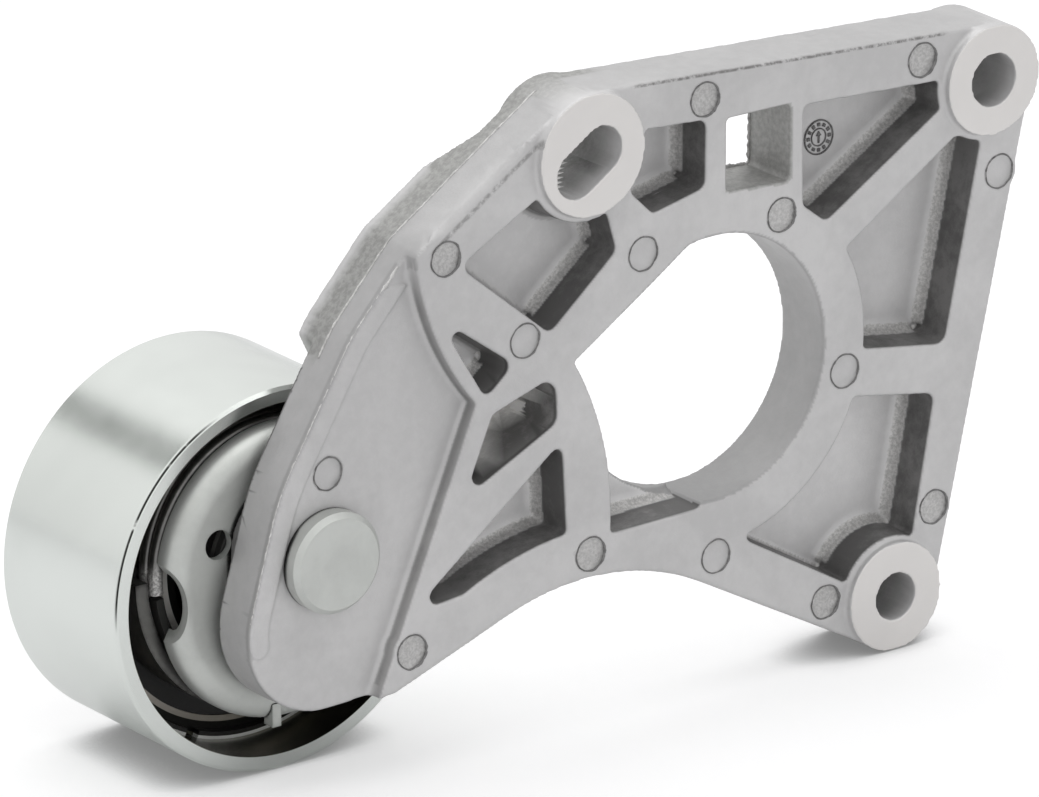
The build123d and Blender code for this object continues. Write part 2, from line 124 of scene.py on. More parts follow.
ARM_FACE = 0.0045
EDGE_ROUND = 1.9
EDGE_MARGIN = 0.6
MARK_EDGE, MARK_FLAT = 3.2, 2.8
MARK_SINK, MARK_LUMPS = 0.00022, 0.00011
BORE_REACH = 7.6
WINDOW_SPAN = (-37.2, -22.6, 80.6, 95.2)
SEAM_TOP = 104.8
ARM_SEAM = (-104.0, 24.0)
# Where the paint looks for a facing wall: how far off the skin a ray starts, how far it goes, the deepest wall
RAY_START, RAY_REACH, DEEPEST_WALL = 0.0004, 0.075, 0.0166
CAMERA_PLACE = (-1.22352, -1.53475, 0.74498)
GAP_WAY = (-0.24, 0.755, 0.61)
FILLET_SECTION = [(-0.25, -0.25), (1.0, -0.25), (1.0, 0.03), (0.52, 0.16), (0.22, 0.42), (0.06, 0.85),
                  (-0.25, 0.85)]
# Near black for painted shade and painted shadow in gaps and beside other pieces
PAINTED_SHADE_BLACK = (0.012, 0.012, 0.011)


# Sizes and colours that a user would change

def length(name, description, default, **limits):
    """Length in metres."""
    return FloatProperty(name=name, description=description, default=default, unit="LENGTH", precision=5,
                         **limits)


def tint(name, description, default):
    """Colour."""
    return FloatVectorProperty(name=name, description=description, subtype="COLOR", default=default)


class CastingSettings(bpy.types.PropertyGroup):
    """Cast skin of the bracket."""

    skin_step: length("Skin step", "Spacing of the cast skin's mesh", 0.00037, min=0.0002)
    softening: IntProperty(name="Softening", description="Passes that round the cast edges", default=3, min=0)
    faces: IntProperty(name="Faces", description="Triangles that the cast skin keeps", default=190000,
                       min=20000)
    fillet: length("Fillet", "Round at the foot of the pocket walls", 0.0021)
    waviness: length("Waviness", "Height of the skin's slow waves", 0.00003)
    roughening: length("Roughening", "Height of the rough skin behind the parting line", 0.00006)
    flash: length("Flash", "Height of the thin ridge where the die's halves met", 0.00016)
    light: tint("Light tone", "Bright aluminium", (0.60, 0.59, 0.592))
    dark: tint("Dark tone", "Dull aluminium", (0.47, 0.462, 0.466))
    # Painted shade and dark reflection on the pocket walls
    wall: tint("Shaded pocket walls", "Painted shade and dark reflection on the pockets' walls", (0.10, 0.098, 0.096))
    machined: tint("Machined tone", "Faces cut bright on the bosses", (0.80, 0.78, 0.76))


class TensionerSettings(bpy.types.PropertyGroup):
    """Finishes of the tensioner and the pulley."""

    zinc: tint("Zinc", "Plated steel of the plate and pin", (0.50, 0.52, 0.49))
    rim: tint("Pulley", "Turned and plated steel of the pulley", (0.78, 0.81, 0.78))
    wire: tint("Spring wire", "Oiled spring steel", (0.20, 0.198, 0.192))
    iron: tint("Arm iron", "Dark phosphated steel", (0.075, 0.074, 0.070))


class StageSettings(bpy.types.PropertyGroup):
    """Floor, lights and camera."""

    floor: tint("Floor", "Colour of the floor", (0.93, 0.93, 0.93))
    azimuth: FloatProperty(name="Azimuth", description="Camera's turn round the part", subtype="ANGLE",
                           default=math.radians(-36.64))
    elevation: FloatProperty(name="Elevation", description="Camera's height angle", subtype="ANGLE",
                             default=math.radians(19.85))
    lens: FloatProperty(name="Lens", description="Focal length", default=415.8, unit="CAMERA")
    lamp_power: FloatProperty(name="Lamp power", description="Power of the overhead soft lamp", default=4.6,
                              unit="POWER")


def casting():
    """Settings of the cast bracket."""
    return bpy.context.scene.tensioner_casting


def finishes():
    """Settings of the tensioner's finishes."""
    return bpy.context.scene.tensioner_finishes


def stage_values():
    """Settings of the stage."""
    return bpy.context.scene.tensioner_stage


# Node helpers

class Wiring:
    """Short hand for adding and joining shader nodes in one tree."""

    def __init__(self, tree):
        self.tree = tree
        self.nodes = tree.nodes
        self.links = tree.links

    def add(self, kind, **inputs):
        """Add a node; inputs are values or sockets, and a leading underscore marks a property."""
        node = self.nodes.new(kind)
        for key, value in inputs.items():
            if key.startswith("_"):
                setattr(node, key[1:], value)
        for key, value in inputs.items():
            if key.startswith("_"):
                continue
            socket = node.inputs[int(key[1:])] if key[0] == "i" and key[1:].isdigit() else node.inputs[key]
            self.feed(socket, value)
        return node

    def feed(self, socket, value):
        """Join a socket to an output, or give it a value."""
        if isinstance(value, bpy.types.NodeSocket):
            self.links.new(value, socket)
        elif socket.type == "RGBA" and len(value) == 3:
            socket.default_value = (*value, 1.0)
        else:
            socket.default_value = value

    def math(self, operation, first, second=0.0, clamp=False):
        """One math node's output."""
        node = self.add("ShaderNodeMath", _operation=operation, _use_clamp=clamp, i0=first, i1=second)
        return node.outputs[0]

    def vector(self, operation, first, second=(0.0, 0.0, 0.0)):
        """One vector math node."""
        return self.add("ShaderNodeVectorMath", _operation=operation, i0=first, i1=second)

    def ramp(self, value, low, high, out_low=0.0, out_high=1.0):
        """Smooth step of a value."""
        node = self.add("ShaderNodeMapRange", _interpolation_type="SMOOTHSTEP", i0=value, i1=low, i2=high)
        self.feed(node.inputs[3], out_low)
        self.feed(node.inputs[4], out_high)
        return node.outputs[0]

    def mix(self, factor, first, second, blend="MIX"):
        """Mixed colour."""
        node = self.nodes.new("ShaderNodeMix")
        node.data_type = "RGBA"
        node.blend_type = blend
        self.feed(node.inputs[0], factor)
        self.feed(node.inputs[6], first)
        self.feed(node.inputs[7], second)
        return node.outputs[2]

    def noise(self, place, scale, detail=3.0, rough=0.55, warp=0.0):
        """Noise from 0 to 1."""
        node = self.nodes.new("ShaderNodeTexNoise")
        self.feed(node.inputs["Vector"], place)
        self.feed(node.inputs["Scale"], scale)
        node.inputs["Detail"].default_value = detail
        node.inputs["Roughness"].default_value = rough
        node.inputs["Distortion"].default_value = warp
        return node.outputs[0]

    def grey(self, value):
        """Grey of one value."""
        return self.add("ShaderNodeCombineColor", i0=value, i1=value, i2=value).outputs[0]

    def openness(self, distance, samples=8, inside=False):
        """How open a place is within a distance, from 0 to 1."""
        node = self.add("ShaderNodeAmbientOcclusion", _samples=samples, _inside=inside, Distance=distance)
        return node.outputs["AO"]

    def rough(self, shader, value, share, level):
        """Roughness that follows a value."""
        roughness = self.math("ADD", self.math("MULTIPLY", value, share), level)
        self.links.new(roughness, shader.inputs["Roughness"])


def new_group(name, inputs, outputs):
    """Empty shader group with its named sockets."""
    group = bpy.data.node_groups.new(name, "ShaderNodeTree")
    for label, kind, value in inputs:
        socket = group.interface.new_socket(label, in_out="INPUT", socket_type="NodeSocket" + kind)
        if value is not None:
            socket.default_value = (*value, 1.0) if kind == "Color" else value
    for label, kind in outputs:
        group.interface.new_socket(label, in_out="OUTPUT", socket_type="NodeSocket" + kind)
    wiring = Wiring(group)
    return group, wiring, wiring.nodes.new("NodeGroupInput"), wiring.nodes.new("NodeGroupOutput")


def object_place(wiring):
    """Place on the object in metres, which stays with the piece when it moves."""
    return wiring.nodes.new("ShaderNodeTexCoord").outputs["Object"]


def clouded_metal():
    """Group: slow clouds, small mottling and fine grain over a metal."""
    name = "Clouded metal"
    if name in bpy.data.node_groups:
        return bpy.data.node_groups[name]
    group, w, given, out = new_group(
        name,
        [("Light", "Color", (0.6, 0.6, 0.6)), ("Dark", "Color", (0.4, 0.4, 0.4)),
         ("Cloud size", "Float", 40.0), ("Mottle size", "Float", 400.0), ("Mottle", "Float", 0.35),
         ("Grain size", "Float", 2600.0)],
        [("Color", "Color"), ("Tone", "Float"), ("Grain", "Float")])
    place = object_place(w)
    cloud = w.noise(place, given.outputs["Cloud size"], 4.0, 0.5, 0.6)
    mottle = w.noise(place, given.outputs["Mottle size"], 5.0, 0.62)
    grain = w.noise(place, given.outputs["Grain size"], 3.0, 0.5)
    slow = w.ramp(cloud, 0.32, 0.68)
    small = w.math("SUBTRACT", mottle, 0.5)
    small = w.math("MULTIPLY", small, given.outputs["Mottle"])
    small = w.math("MULTIPLY", small, 4.0)
    fine = w.math("MULTIPLY", w.math("SUBTRACT", grain, 0.5), 0.35)
    tone = w.math("ADD", w.math("ADD", slow, small), fine, clamp=True)
    w.links.new(w.mix(tone, given.outputs["Dark"], given.outputs["Light"]), out.inputs["Color"])
    w.links.new(tone, out.inputs["Tone"])
    w.links.new(grain, out.inputs["Grain"])
    return group


def edge_finder():
    """Group: worn outer edges and painted shade in inner corners, from the rounded normal and the open sky."""
    name = "Edge finder"
    if name in bpy.data.node_groups:
        return bpy.data.node_groups[name]
    group, w, given, out = new_group(
        name, [("Reach", "Float", 0.004), ("Break up", "Float", 0.5)],
        [("Worn", "Float"), ("Corner shade", "Float")])
    place = object_place(w)
    inner = w.openness(given.outputs["Reach"], 6)
    outer = w.openness(0.0012, 6, True)
    patchy = w.noise(place, 900.0, 4.0, 0.6)
    patch = w.math("MULTIPLY", w.math("SUBTRACT", patchy, 0.5), given.outputs["Break up"])
    # Painted shade: darker where the open sky is hemmed in, in inner corners
    corner_shade = w.math("SUBTRACT", 1.0, inner)
    w.links.new(w.math("ADD", corner_shade, patch, clamp=True), out.inputs["Corner shade"])
    worn = w.ramp(w.math("ADD", outer, patch), 0.42, 0.75)
    w.links.new(worn, out.inputs["Worn"])
    return group


def turned_rings():
    """Group: fine rings cut by a lathe round an axis along Y."""
    name = "Turned rings"
    if name in bpy.data.node_groups:
        return bpy.data.node_groups[name]
    group, w, given, out = new_group(
        name, [("Centre", "Vector", (0.0, 0.0, 0.0)), ("Pitch", "Float", 0.0002), ("Along", "Float", 0.0)],
        [("Rings", "Float"), ("Patches", "Float")])
    place = object_place(w)
    offset = w.vector("SUBTRACT", place, given.outputs["Centre"])
    parts = w.add("ShaderNodeSeparateXYZ", i0=offset.outputs[0])
    across = w.math("ADD", w.math("POWER", parts.outputs[0], 2.0), w.math("POWER", parts.outputs[2], 2.0))
    radius = w.math("SQRT", across)
    run = w.add("ShaderNodeMix", i0=given.outputs["Along"], i2=radius, i3=parts.outputs[1]).outputs[0]
    line = w.math("DIVIDE", run, given.outputs["Pitch"])
    single = w.add("ShaderNodeCombineXYZ", i0=line)
    rings = w.noise(single.outputs[0], 1.0, 3.0, 0.7)
    w.links.new(rings, out.inputs["Rings"])
    w.links.new(w.noise(place, 160.0, 3.0), out.inputs["Patches"])
    return group


def use_group(wiring, group, **inputs):
    """Place a group in a material with its own values."""
    node = wiring.nodes.new("ShaderNodeGroup")
    node.node_tree = group
    for key, value in inputs.items():
        wiring.feed(node.inputs[key.replace("_", " ").capitalize()], value)
    return node


def scaled(colour, share):
    """Colour made brighter or darker by a share."""
    return tuple(v * share for v in colour)


def clouds(wiring, light, dark, cloud_size, mottle_size, mottle, grain_size):
    """Clouded metal between two colours."""
    return use_group(wiring, clouded_metal(), Light=light, Dark=dark, cloud_size=cloud_size,
                     mottle_size=mottle_size, mottle=mottle, grain_size=grain_size)


def new_finish(name, metallic=1.0, roughness=0.4):
    """Material with its wiring and its shader."""
    material = bpy.data.materials.new(name)
    material.use_nodes = True
    wiring = Wiring(material.node_tree)
    shader = material.node_tree.nodes["Principled BSDF"]
    shader.inputs["Metallic"].default_value = metallic
    shader.inputs["Roughness"].default_value = roughness
    return material, wiring, shader


def bump(wiring, shader, height, depth, strength=1.0):
    """Feed a height to the shader's normal."""
    node = wiring.add("ShaderNodeBump", Strength=strength, Distance=depth, Height=height)
    wiring.links.new(node.outputs[0], shader.inputs["Normal"])


def near_spots(wiring, place, spots, reach):
    """Value from 0 to 1 close to any of several axes along Y, each (x, z, radius) in millimetres."""
    parts = wiring.add("ShaderNodeSeparateXYZ", i0=place)
    total = None
    for x, z, radius in spots:
        across = wiring.math("POWER", wiring.math("SUBTRACT", parts.outputs[0], x * MM), 2.0)
        up = wiring.math("POWER", wiring.math("SUBTRACT", parts.outputs[2], z * MM), 2.0)
        away = wiring.math("SQRT", wiring.math("ADD", across, up))
        inside = wiring.ramp(away, (radius + reach) * MM, radius * MM)
        total = inside if total is None else wiring.math("MAXIMUM", total, inside)
    return total, parts.outputs[1]


def near_line(w, place, start, end, width, deepest):
    """Value from 0 to 1 on a straight line on the front, between two (x, z) points in millimetres."""
    parts = w.add("ShaderNodeSeparateXYZ", i0=place)
    reach = math.dist(start, end)
    along_x, along_z = (end[0] - start[0]) / reach, (end[1] - start[1]) / reach
    right = w.math("SUBTRACT", parts.outputs[0], start[0] * MM)
    up = w.math("SUBTRACT", parts.outputs[2], start[1] * MM)
    across = w.math("ADD", w.math("MULTIPLY", right, -along_z), w.math("MULTIPLY", up, along_x))
    along = w.math("ADD", w.math("MULTIPLY", right, along_x), w.math("MULTIPLY", up, along_z))
    close = w.ramp(w.math("ABSOLUTE", across), width * MM, 0.2 * width * MM)
    fade = 3.0
    ends = w.math("MULTIPLY", w.ramp(along, 0.0, fade * MM), w.ramp(along, reach * MM, (reach - fade) * MM))
    shallow = w.ramp(parts.outputs[1], deepest * MM, (deepest - 0.4) * MM)
    return w.math("MULTIPLY", w.math("MULTIPLY", close, ends), shallow)


# Finishes

def cast_aluminium():
    """Fine die-cast skin with painted shade on the pocket walls and in corners, speckled fillets, bright machined
    boss faces and each point's painted light and shade.
    """
    values = casting()
    material, w, shader = new_finish("Cast aluminium", metallic=0.35, roughness=0.46)
    skin = clouds(w, tuple(values.light), tuple(values.dark), 26.0, 420.0, 0.34, 2600.0)
    edges = use_group(w, edge_finder(), reach=0.004, break_up=0.6)
    place = object_place(w)
    zones = w.add("ShaderNodeAttribute", _attribute_name="zones")
    zone = w.add("ShaderNodeSeparateColor", i0=zones.outputs["Color"])
    wall, fillet, rear = zone.outputs[0], zone.outputs[1], zone.outputs[2]
    shade = zones.outputs["Alpha"]
    colour = w.mix(w.math("MULTIPLY", edges.outputs["Worn"], 0.40), skin.outputs["Color"], (0.68, 0.68, 0.67))
    # Painted shade in inner corners
    corner_shaded = w.math("MULTIPLY", w.ramp(edges.outputs["Corner shade"], 0.45, 1.0), 0.5)
    colour = w.mix(corner_shaded, colour, (0.16, 0.155, 0.15))
    # Speckled rough fillets, given by the zones only to fillets facing the light, so partly painted highlight beside
    # the shaded walls
    speckle = w.noise(place, 1900.0, 4.0, 0.75)
    flecks = w.mix(w.ramp(speckle, 0.36, 0.66), (0.36, 0.355, 0.345), (0.64, 0.63, 0.615))
    colour = w.mix(w.math("MULTIPLY", fillet, 0.8), colour, flecks)
    # Painted shade and dark reflection on the pocket walls, streaked by the skin's tone
    wall_shade_streaks = w.mix(w.ramp(skin.outputs["Tone"], 0.2, 0.9), tuple(values.wall),
                    scaled(values.wall, 1.8))
    colour = w.mix(wall, colour, wall_shade_streaks)
    coarse = w.noise(place, 1000.0, 5.0, 0.65)
    scale_marks = w.mix(w.ramp(coarse, 0.36, 0.66), (0.31, 0.31, 0.295), (0.47, 0.47, 0.45))
    colour = w.mix(w.math("MULTIPLY", rear, 0.8), colour, scale_marks)
    # Painted light and shade: each point's colour is multiplied by the zones' shade
    colour = w.mix(1.0, colour, w.grey(shade), "MULTIPLY")
    pits = w.ramp(w.noise(place, 700.0, 5.0, 0.75), 0.36, 0.58)
    seams = w.math("MULTIPLY", near_line(w, place, *UPPER_LEFT_SEAM, 0.7, 3.4), 0.55)
    seams = w.math("MAXIMUM", seams, w.math("MULTIPLY", near_line(w, place, *TOP_SEAM, 0.4, 2.4), 0.8))
    colour = w.mix(w.math("MULTIPLY", seams, pits), colour, (0.13, 0.125, 0.12))
    spots, depth = near_spots(w, place, BOSSES, 0.1)
    cut = w.math("MULTIPLY", spots, w.ramp(depth, 0.00022, 0.00010))
    rings = use_group(w, turned_rings(), centre=(0.0, 0.0, 0.0), pitch=0.00035)
    bright = w.mix(rings.outputs["Patches"], tuple(values.machined), scaled(values.machined, 0.93))
    w.links.new(w.mix(cut, colour, bright), shader.inputs["Base Color"])
    rough = w.math("ADD", w.math("MULTIPLY", skin.outputs["Tone"], -0.08), 0.54)
    w.links.new(w.mix(cut, rough, (0.34, 0.34, 0.34)), shader.inputs["Roughness"])
    w.links.new(w.math("SUBTRACT", 0.35, w.math("MULTIPLY", wall, 0.30)), shader.inputs["Metallic"])
    coarseness = w.math("ADD", w.math("MULTIPLY", w.math("MAXIMUM", rear, fillet), 0.7), 0.30)
    height = w.math("ADD", w.math("MULTIPLY", skin.outputs["Grain"], 0.30),
                    w.math("MULTIPLY", speckle, coarseness))
    height = w.math("MULTIPLY", height, w.math("SUBTRACT", 1.0, w.math("MULTIPLY", cut, 0.94)))
    bump(w, shader, height, 0.00012, 0.7)
    return material


def trim_metal(name, colour):
    """Torn or raised edges of the casting, broken into light and dark flecks."""
    material, w, shader = new_finish(name, 0.25, 0.55)
    skin = clouds(w, tuple(min(1.0, v * 1.15) for v in colour), scaled(colour, 0.7),
                  700.0, 1500.0, 0.3, 4000.0)
    w.links.new(skin.outputs["Color"], shader.inputs["Base Color"])
    bump(w, shader, skin.outputs["Grain"], 0.00006, 0.7)
    return material


def zinc_plate(name="Zinc plate", tone=1.0, metallic=0.85, roughness=0.34, shaded_behind=1.0):
    """Dull zinc plating, faintly green and stained, with painted shade in corners, and painted black shade beside
    other pieces and behind one depth.
    """
    colour = scaled(finishes().zinc, tone)
    material, w, shader = new_finish(name, metallic, roughness)
    skin = clouds(w, colour, scaled(colour, 0.80), 90.0, 800.0, 0.18, 4200.0)
    edges = use_group(w, edge_finder(), reach=0.003, break_up=0.25)
    # Painted shade in inner corners
    shade = w.mix(w.ramp(edges.outputs["Corner shade"], 0.35, 0.95), skin.outputs["Color"], (0.06, 0.062, 0.058))
    shade = w.mix(w.math("MULTIPLY", edges.outputs["Worn"], 0.35), shade, (0.80, 0.81, 0.79))
    # Painted black shadow where the plate comes close to the arm and other pieces
    shade = w.mix(w.ramp(w.openness(0.0016), 0.74, 0.60), shade, PAINTED_SHADE_BLACK)
    depth = w.add("ShaderNodeSeparateXYZ", i0=object_place(w)).outputs[1]
    # Painted black shade behind one depth, on the parts of the plate that reach back into the gap
    shade = w.mix(w.ramp(depth, shaded_behind, shaded_behind + 0.0001), shade, (0.03, 0.03, 0.028))
    w.links.new(shade, shader.inputs["Base Color"])
    w.rough(shader, skin.outputs["Tone"], -0.12, roughness + 0.06)
    bump(w, shader, skin.outputs["Grain"], 0.00003, 0.6)
    return material


def pulley_steel():
    """Turned and plated steel, smooth enough to mirror the lamps as soft bands."""
    colour = tuple(finishes().rim)
    material, w, shader = new_finish("Pulley steel", 0.95, 0.24)
    skin = clouds(w, colour, scaled(colour, 0.93), 30.0, 700.0, 0.05, 5000.0)
    rings = use_group(w, turned_rings(), centre=tuple(PULLEY_AXIS), pitch=0.00022, along=1.0)
    shade = w.mix(w.math("MULTIPLY", rings.outputs["Rings"], 0.10), skin.outputs["Color"], (0.45, 0.47, 0.44))
    w.rough(shader, rings.outputs["Patches"], 0.08, 0.20)
    place = object_place(w)
    spots, depth = near_spots(w, place, [(PULLEY_AXIS.x / MM, PULLEY_AXIS.z / MM, 31.74)], 0.06)
    tone = w.mix(rings.outputs["Patches"], (0.060, 0.060, 0.044), (0.175, 0.170, 0.130))
    shade = w.mix(spots, shade, tone)
    # Painted dark reflection along the upper left of the front chamfer
    shade = w.mix(chamfer_dark_reflection(w, place, depth), shade, (0.02, 0.02, 0.018))
    w.links.new(shade, shader.inputs["Base Color"])
    bump(w, shader, rings.outputs["Rings"], 0.000012, 0.5)
    return material


def chamfer_dark_reflection(w, place, depth):
    """Broken black line of painted dark reflection on the upper left of the pulley's front chamfer."""
    offset = w.vector("SUBTRACT", place, tuple(PULLEY_AXIS))
    flat = w.vector("MULTIPLY", offset.outputs[0], (1.0, 0.0, 1.0))
    away = w.vector("LENGTH", flat.outputs[0]).outputs["Value"]
    way = w.vector("NORMALIZE", flat.outputs[0])
    facing = w.vector("DOT_PRODUCT", way.outputs[0], (-0.85, 0.0, 0.53))
    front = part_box("pulley")[0].y
    shallow = w.ramp(depth, front + 0.0005, front + 0.0003)
    near_edge = w.math("MULTIPLY", w.ramp(away, 0.03395, 0.03405), shallow)
    broken = w.ramp(w.noise(place, 260.0, 3.0, 0.6), 0.30, 0.42)
    side = w.ramp(facing.outputs["Value"], 0.80, 0.90)
    return w.math("MULTIPLY", w.math("MULTIPLY", near_edge, broken), side)


def dark_metal(name, colour, roughness, metallic=0.9, axis=None):
    """Dark steel with stains and, round an axis, turning marks."""
    material, w, shader = new_finish(name, metallic, roughness)
    skin = clouds(w, scaled(colour, 1.35), scaled(colour, 0.6), 120.0, 700.0, 0.4, 3500.0)
    edges = use_group(w, edge_finder(), reach=0.003, break_up=0.4)
    shade = w.mix(w.math("MULTIPLY", edges.outputs["Worn"], 0.5), skin.outputs["Color"],
                  tuple(min(1.0, v * 3.0 + 0.05) for v in colour))
    w.links.new(shade, shader.inputs["Base Color"])
    w.rough(shader, skin.outputs["Tone"], -0.12, roughness + 0.05)
    if axis is None:
        bump(w, shader, skin.outputs["Grain"], 0.00004, 0.6)
    else:
        rings = use_group(w, turned_rings(), centre=tuple(axis), pitch=0.00025)
        bump(w, shader, rings.outputs["Rings"], 0.00002, 0.6)
    return material


def spring_steel():
    """Oiled dark wire, with its sheared free end bright and grainy."""
    colour = tuple(finishes().wire)
    material, w, shader = new_finish("Spring wire", 0.9, 0.32)
    skin = clouds(w, scaled(colour, 1.25), scaled(colour, 0.8), 160.0, 900.0, 0.12, 4200.0)
    place = object_place(w)
    angle = math.radians(SPRING_END[0])
    end = HUB_AXIS + Vector((math.cos(angle), 0.0, math.sin(angle))) * SPRING_END[1] * MM
    end.y = SPRING_END[2] * MM
    offset = w.vector("SUBTRACT", place, tuple(end))
    away = w.vector("LENGTH", offset.outputs[0]).outputs["Value"]
    grains = w.noise(place, 2400.0, 4.0, 0.7)
    sheared = w.mix(w.ramp(grains, 0.38, 0.62), (0.22, 0.215, 0.21), (0.66, 0.65, 0.63))
    near = w.math("MULTIPLY", w.ramp(away, 0.0062, 0.0030), 0.85)
    w.links.new(w.mix(near, skin.outputs["Color"], sheared), shader.inputs["Base Color"])
    w.links.new(w.math("SUBTRACT", 0.9, w.math("MULTIPLY", near, 0.7)), shader.inputs["Metallic"])
    bump(w, shader, w.math("MULTIPLY", grains, w.math("ADD", near, 0.1)), 0.00006, 0.6)
    return material


def rim_steel(name, colour, axis, shaded_within):
    """Bright turned steel whose face is painted black as shade inside one radius, so that only its rim shines."""
    material, w, shader = new_finish(name, 0.25, 0.30)
    skin = clouds(w, colour, scaled(colour, 0.85), 120.0, 900.0, 0.15, 4200.0)
    inside, _ = near_spots(w, object_place(w), [(axis.x / MM, axis.z / MM, shaded_within)], 0.08)
    # Painted black shade on the face inside one radius
    w.links.new(w.mix(inside, skin.outputs["Color"], PAINTED_SHADE_BLACK), shader.inputs["Base Color"])
    rings = use_group(w, turned_rings(), centre=tuple(axis), pitch=0.0002)
    bump(w, shader, rings.outputs["Rings"], 0.00001, 0.5)
    return material


def bearing_face():
    """Ground outer ring: brown-grey inside, with a painted black shadow on the step beside the retaining ring."""
    material, w, shader = new_finish("Outer ring steel", 0.85, 0.30)
    skin = clouds(w, (0.40, 0.375, 0.34), (0.31, 0.29, 0.26), 80.0, 600.0, 0.15, 4200.0)
    place = object_place(w)
    inside, _ = near_spots(w, place, [(PULLEY_AXIS.x / MM, PULLEY_AXIS.z / MM, 28.9)], 0.1)
    rings = use_group(w, turned_rings(), centre=tuple(PULLEY_AXIS), pitch=0.0002)
    # Painted black shadow beyond the brown-grey face, on the step beside the retaining ring
    w.links.new(w.mix(inside, PAINTED_SHADE_BLACK, skin.outputs["Color"]), shader.inputs["Base Color"])
    bump(w, shader, rings.outputs["Rings"], 0.00001, 0.5)
    return material


def matt_black(name, colour=(0.018, 0.018, 0.018), roughness=0.55):
    """Rubber or nylon with a fine moulded grain."""
    material, w, shader = new_finish(name, 0.0, roughness)
    skin = clouds(w, scaled(colour, 1.4), scaled(colour, 0.7), 150.0, 900.0, 0.3, 3800.0)
    w.links.new(skin.outputs["Color"], shader.inputs["Base Color"])
    w.rough(shader, skin.outputs["Tone"], 0.12, roughness - 0.06)
    bump(w, shader, skin.outputs["Grain"], 0.00005, 0.7)
    return material


# Mesh helpers

def link(name, mesh, body, material):
    """Put a mesh in the scene as a piece that moves with a body."""
    piece = bpy.data.objects.new(name, mesh)
    bpy.context.scene.collection.objects.link(piece)
    mesh.materials.clear()
    mesh.materials.append(material)
    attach(piece, body)
    return piece


def trim(name, bm, material):
    """Torn or raised edges of the casting as a piece of their own."""
    link(name, finished(bm, name), "frame", material)


def dress(name, material):
    """Give a CAD node its finish."""
    for place in frame["nodes"][name].material_slots:
        place.material = material


def evaluated(piece):
    """New mesh with a piece's modifiers applied."""
    graph = bpy.context.evaluated_depsgraph_get()
    return bpy.data.meshes.new_from_object(piece.evaluated_get(graph))


def applied(mesh, *modifiers):
    """Mesh after a row of modifiers, each (kind, {setting: value})."""
    holder = bpy.data.objects.new("holder", mesh)
    bpy.context.scene.collection.objects.link(holder)
    for kind, values in modifiers:
        modifier = holder.modifiers.new(kind, kind)
        for key, value in values.items():
            setattr(modifier, key, value)
    made = evaluated(holder)
    bpy.data.objects.remove(holder)
    return made


def roughen(mesh, waviness, roughening):
    """Move the skin along its normals: slow waves all over, pits and scales behind the parting line."""
    normals = [vertex.normal.copy() for vertex in mesh.vertices]
    for vertex, normal in zip(mesh.vertices, normals):
        place = vertex.co
        shift = waviness * noise.noise(place * 120.0) + 0.4 * waviness * noise.noise(place * 420.0)
        if place.y > PARTING and abs(normal.y) < 0.7:
            shift += roughening * noise.noise(place * 700.0) * min(1.0, (place.y - PARTING) / 0.0006)
        if place.y > 0.0003:
            vertex.co = place + normal * shift
            vertex.co.z = min(vertex.co.z, CAD_BOX[1].z)


def taut_line(rounds, step=1.2, inset=0.0):
    """Points along a taut line round (x, z, radius) rounds in millimetres, with outward directions."""
    count = len(rounds)
    sides, line = [], []
    for here, after in zip(rounds, rounds[1:] + rounds[:1]):
        across, up = after[0] - here[0], after[1] - here[1]
        length = math.hypot(across, up)
        sides.append(math.atan2(up, across) + math.asin((here[2] - after[2]) / length) - math.pi / 2)
    for index in range(count):
        corner = rounds[(index + 1) % count]
        side, onward = sides[index], sides[(index + 1) % count]
        here = rounds[index]
        start = (here[0] + here[2] * math.cos(side), here[1] + here[2] * math.sin(side))
        end = (corner[0] + corner[2] * math.cos(side), corner[1] + corner[2] * math.sin(side))
        pieces = max(1, int(math.dist(start, end) / step))
        for piece in range(pieces):
            part = piece / pieces
            line.append((start[0] + (end[0] - start[0]) * part, start[1] + (end[1] - start[1]) * part, side))
        turn = (onward - side) % (2 * math.pi) if corner[2] > 0 else -((side - onward) % (2 * math.pi))
        pieces = max(2, int(abs(turn * corner[2]) / step))
        for piece in range(pieces):
            angle = side + turn * piece / pieces
            line.append((corner[0] + corner[2] * math.cos(angle), corner[1] + corner[2] * math.sin(angle),
                         angle))
    return [(x - inset * math.cos(a), z - inset * math.sin(a), a) for x, z, a in line]


def bridge(bm, first, second):
    """Quads round two rings of the same number of points."""
    for step in range(len(first)):
        after = (step + 1) % len(first)
        bm.faces.new((first[step], first[after], second[after], second[step]))


def prism(bm, near, far):
    """Closed bar between two sections."""
    first, second = [bm.verts.new(c) for c in near], [bm.verts.new(c) for c in far]
    bridge(bm, first, second)
    bm.faces.new(first[::-1])
    bm.faces.new(second)


